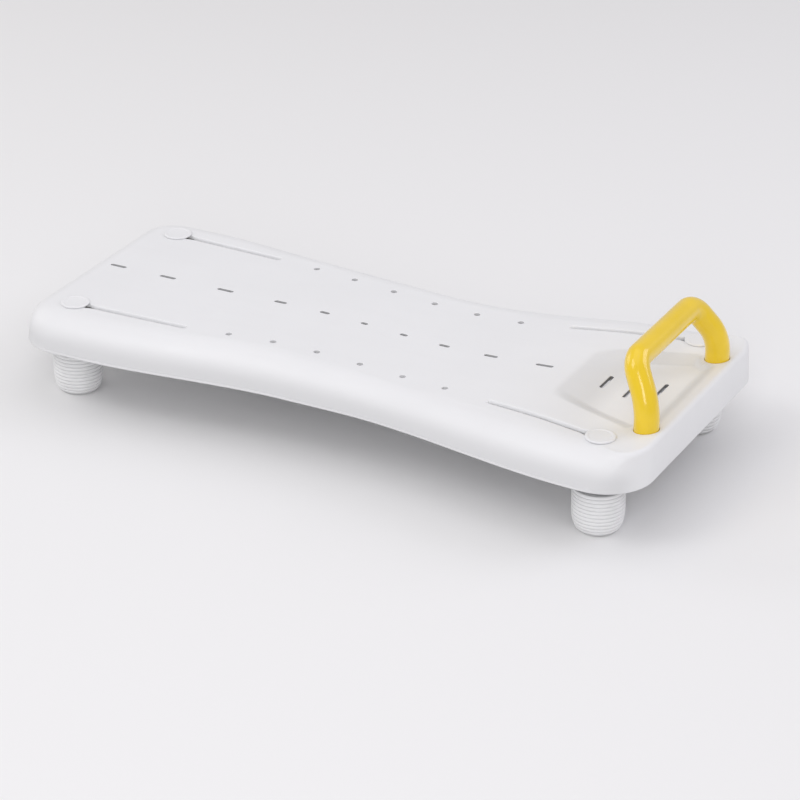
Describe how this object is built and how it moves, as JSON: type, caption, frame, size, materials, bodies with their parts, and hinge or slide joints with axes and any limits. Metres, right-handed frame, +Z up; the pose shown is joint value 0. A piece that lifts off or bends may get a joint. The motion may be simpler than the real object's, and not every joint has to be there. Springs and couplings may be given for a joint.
{
  "type": "bath board",
  "caption": "Moulded bath board with a waisted, contoured deck, drain openings, soap tray, grab handle and sliding, clamping rubber feet.",
  "frame": {"origin": "on the floor under the middle of the board, which stands on its four feet", "axes": "+X along the board towards the handle, +Y across it to the back side, +Z up"},
  "size_m": [0.703, 0.326, 0.1697],
  "materials": {
    "white_plastic": "white moulded polypropylene, fine satin, slightly cool",
    "yellow_plastic": "glossy warm yellow plastic",
    "pale_rubber": "pale grey soft rubber with fine ridges",
    "charcoal_plastic": "dark grey moulded plastic",
    "natural_nylon": "undyed moulded nylon",
    "stainless_steel": "plain stainless steel"
  },
  "bodies": {
    "board": {"deck": "white_plastic", "handle_tube": "yellow_plastic", "handle_insert_front": "natural_nylon", "handle_insert_back": "natural_nylon", "handle_washer_front": "stainless_steel", "handle_washer_back": "stainless_steel", "handle_bolt_front": "stainless_steel", "handle_bolt_back": "stainless_steel"},
    "carriage_front_left": {"clamp_disc_front_left": "white_plastic", "clamp_bolt_front_left": "stainless_steel"},
    "shoe_front_left": {"slide_shoe_front_left": "natural_nylon"},
    "foot_front_left": {"foot_hub_front_left": "charcoal_plastic", "foot_sleeve_front_left": "pale_rubber"},
    "carriage_back_left": {"clamp_disc_back_left": "white_plastic", "clamp_bolt_back_left": "stainless_steel"},
    "shoe_back_left": {"slide_shoe_back_left": "natural_nylon"},
    "foot_back_left": {"foot_hub_back_left": "charcoal_plastic", "foot_sleeve_back_left": "pale_rubber"},
    "carriage_front_right": {"clamp_disc_front_right": "white_plastic", "clamp_bolt_front_right": "stainless_steel"},
    "shoe_front_right": {"slide_shoe_front_right": "natural_nylon"},
    "foot_front_right": {"foot_hub_front_right": "charcoal_plastic", "foot_sleeve_front_right": "pale_rubber"},
    "carriage_back_right": {"clamp_disc_back_right": "white_plastic", "clamp_bolt_back_right": "stainless_steel"},
    "shoe_back_right": {"slide_shoe_back_right": "natural_nylon"},
    "foot_back_right": {"foot_hub_back_right": "charcoal_plastic", "foot_sleeve_back_right": "pale_rubber"}
  },
  "joints": [
    {"name": "slide_front_left", "type": "slide", "parent": "board", "child": "carriage_front_left", "axis": [0.9995, 0.033, 0], "range_m": [0, 0.12387]},
    {"name": "clamp_front_left", "type": "slide", "parent": "carriage_front_left", "child": "shoe_front_left", "axis": [0, 0, -1], "range_m": [0, 0.004]},
    {"name": "turn_front_left", "type": "hinge", "parent": "shoe_front_left", "child": "foot_front_left", "pos_m": [-0.3015, -0.0995, 0.05], "axis": [0, 0, -1], "range_deg": [0, 720]},
    {"name": "slide_back_left", "type": "slide", "parent": "board", "child": "carriage_back_left", "axis": [0.9995, -0.033, 0], "range_m": [0, 0.12387]},
    {"name": "clamp_back_left", "type": "slide", "parent": "carriage_back_left", "child": "shoe_back_left", "axis": [0, 0, -1], "range_m": [0, 0.004]},
    {"name": "turn_back_left", "type": "hinge", "parent": "shoe_back_left", "child": "foot_back_left", "pos_m": [-0.3015, 0.0995, 0.05], "axis": [0, 0, -1], "range_deg": [0, 720]},
    {"name": "slide_front_right", "type": "slide", "parent": "board", "child": "carriage_front_right", "axis": [-0.983, 0.1838, 0], "range_m": [0, 0.12595]},
    {"name": "clamp_front_right", "type": "slide", "parent": "carriage_front_right", "child": "shoe_front_right", "axis": [0, 0, -1], "range_m": [0, 0.004]},
    {"name": "turn_front_right", "type": "hinge", "parent": "shoe_front_right", "child": "foot_front_right", "pos_m": [0.2985, -0.1185, 0.05], "axis": [0, 0, -1], "range_deg": [0, 720]},
    {"name": "slide_back_right", "type": "slide", "parent": "board", "child": "carriage_back_right", "axis": [-0.983, -0.1838, 0], "range_m": [0, 0.12595]},
    {"name": "clamp_back_right", "type": "slide", "parent": "carriage_back_right", "child": "shoe_back_right", "axis": [0, 0, -1], "range_m": [0, 0.004]},
    {"name": "turn_back_right", "type": "hinge", "parent": "shoe_back_right", "child": "foot_back_right", "pos_m": [0.2985, 0.1185, 0.05], "axis": [0, 0, -1], "range_deg": [0, 720]}
  ],
  "couplings": [
    {"joint": "clamp_front_left", "follows": "turn_front_left", "m_per_rad": 0.00031831},
    {"joint": "clamp_back_left", "follows": "turn_back_left", "m_per_rad": 0.00031831},
    {"joint": "clamp_front_right", "follows": "turn_front_right", "m_per_rad": 0.00031831},
    {"joint": "clamp_back_right", "follows": "turn_back_right", "m_per_rad": 0.00031831}
  ]
}
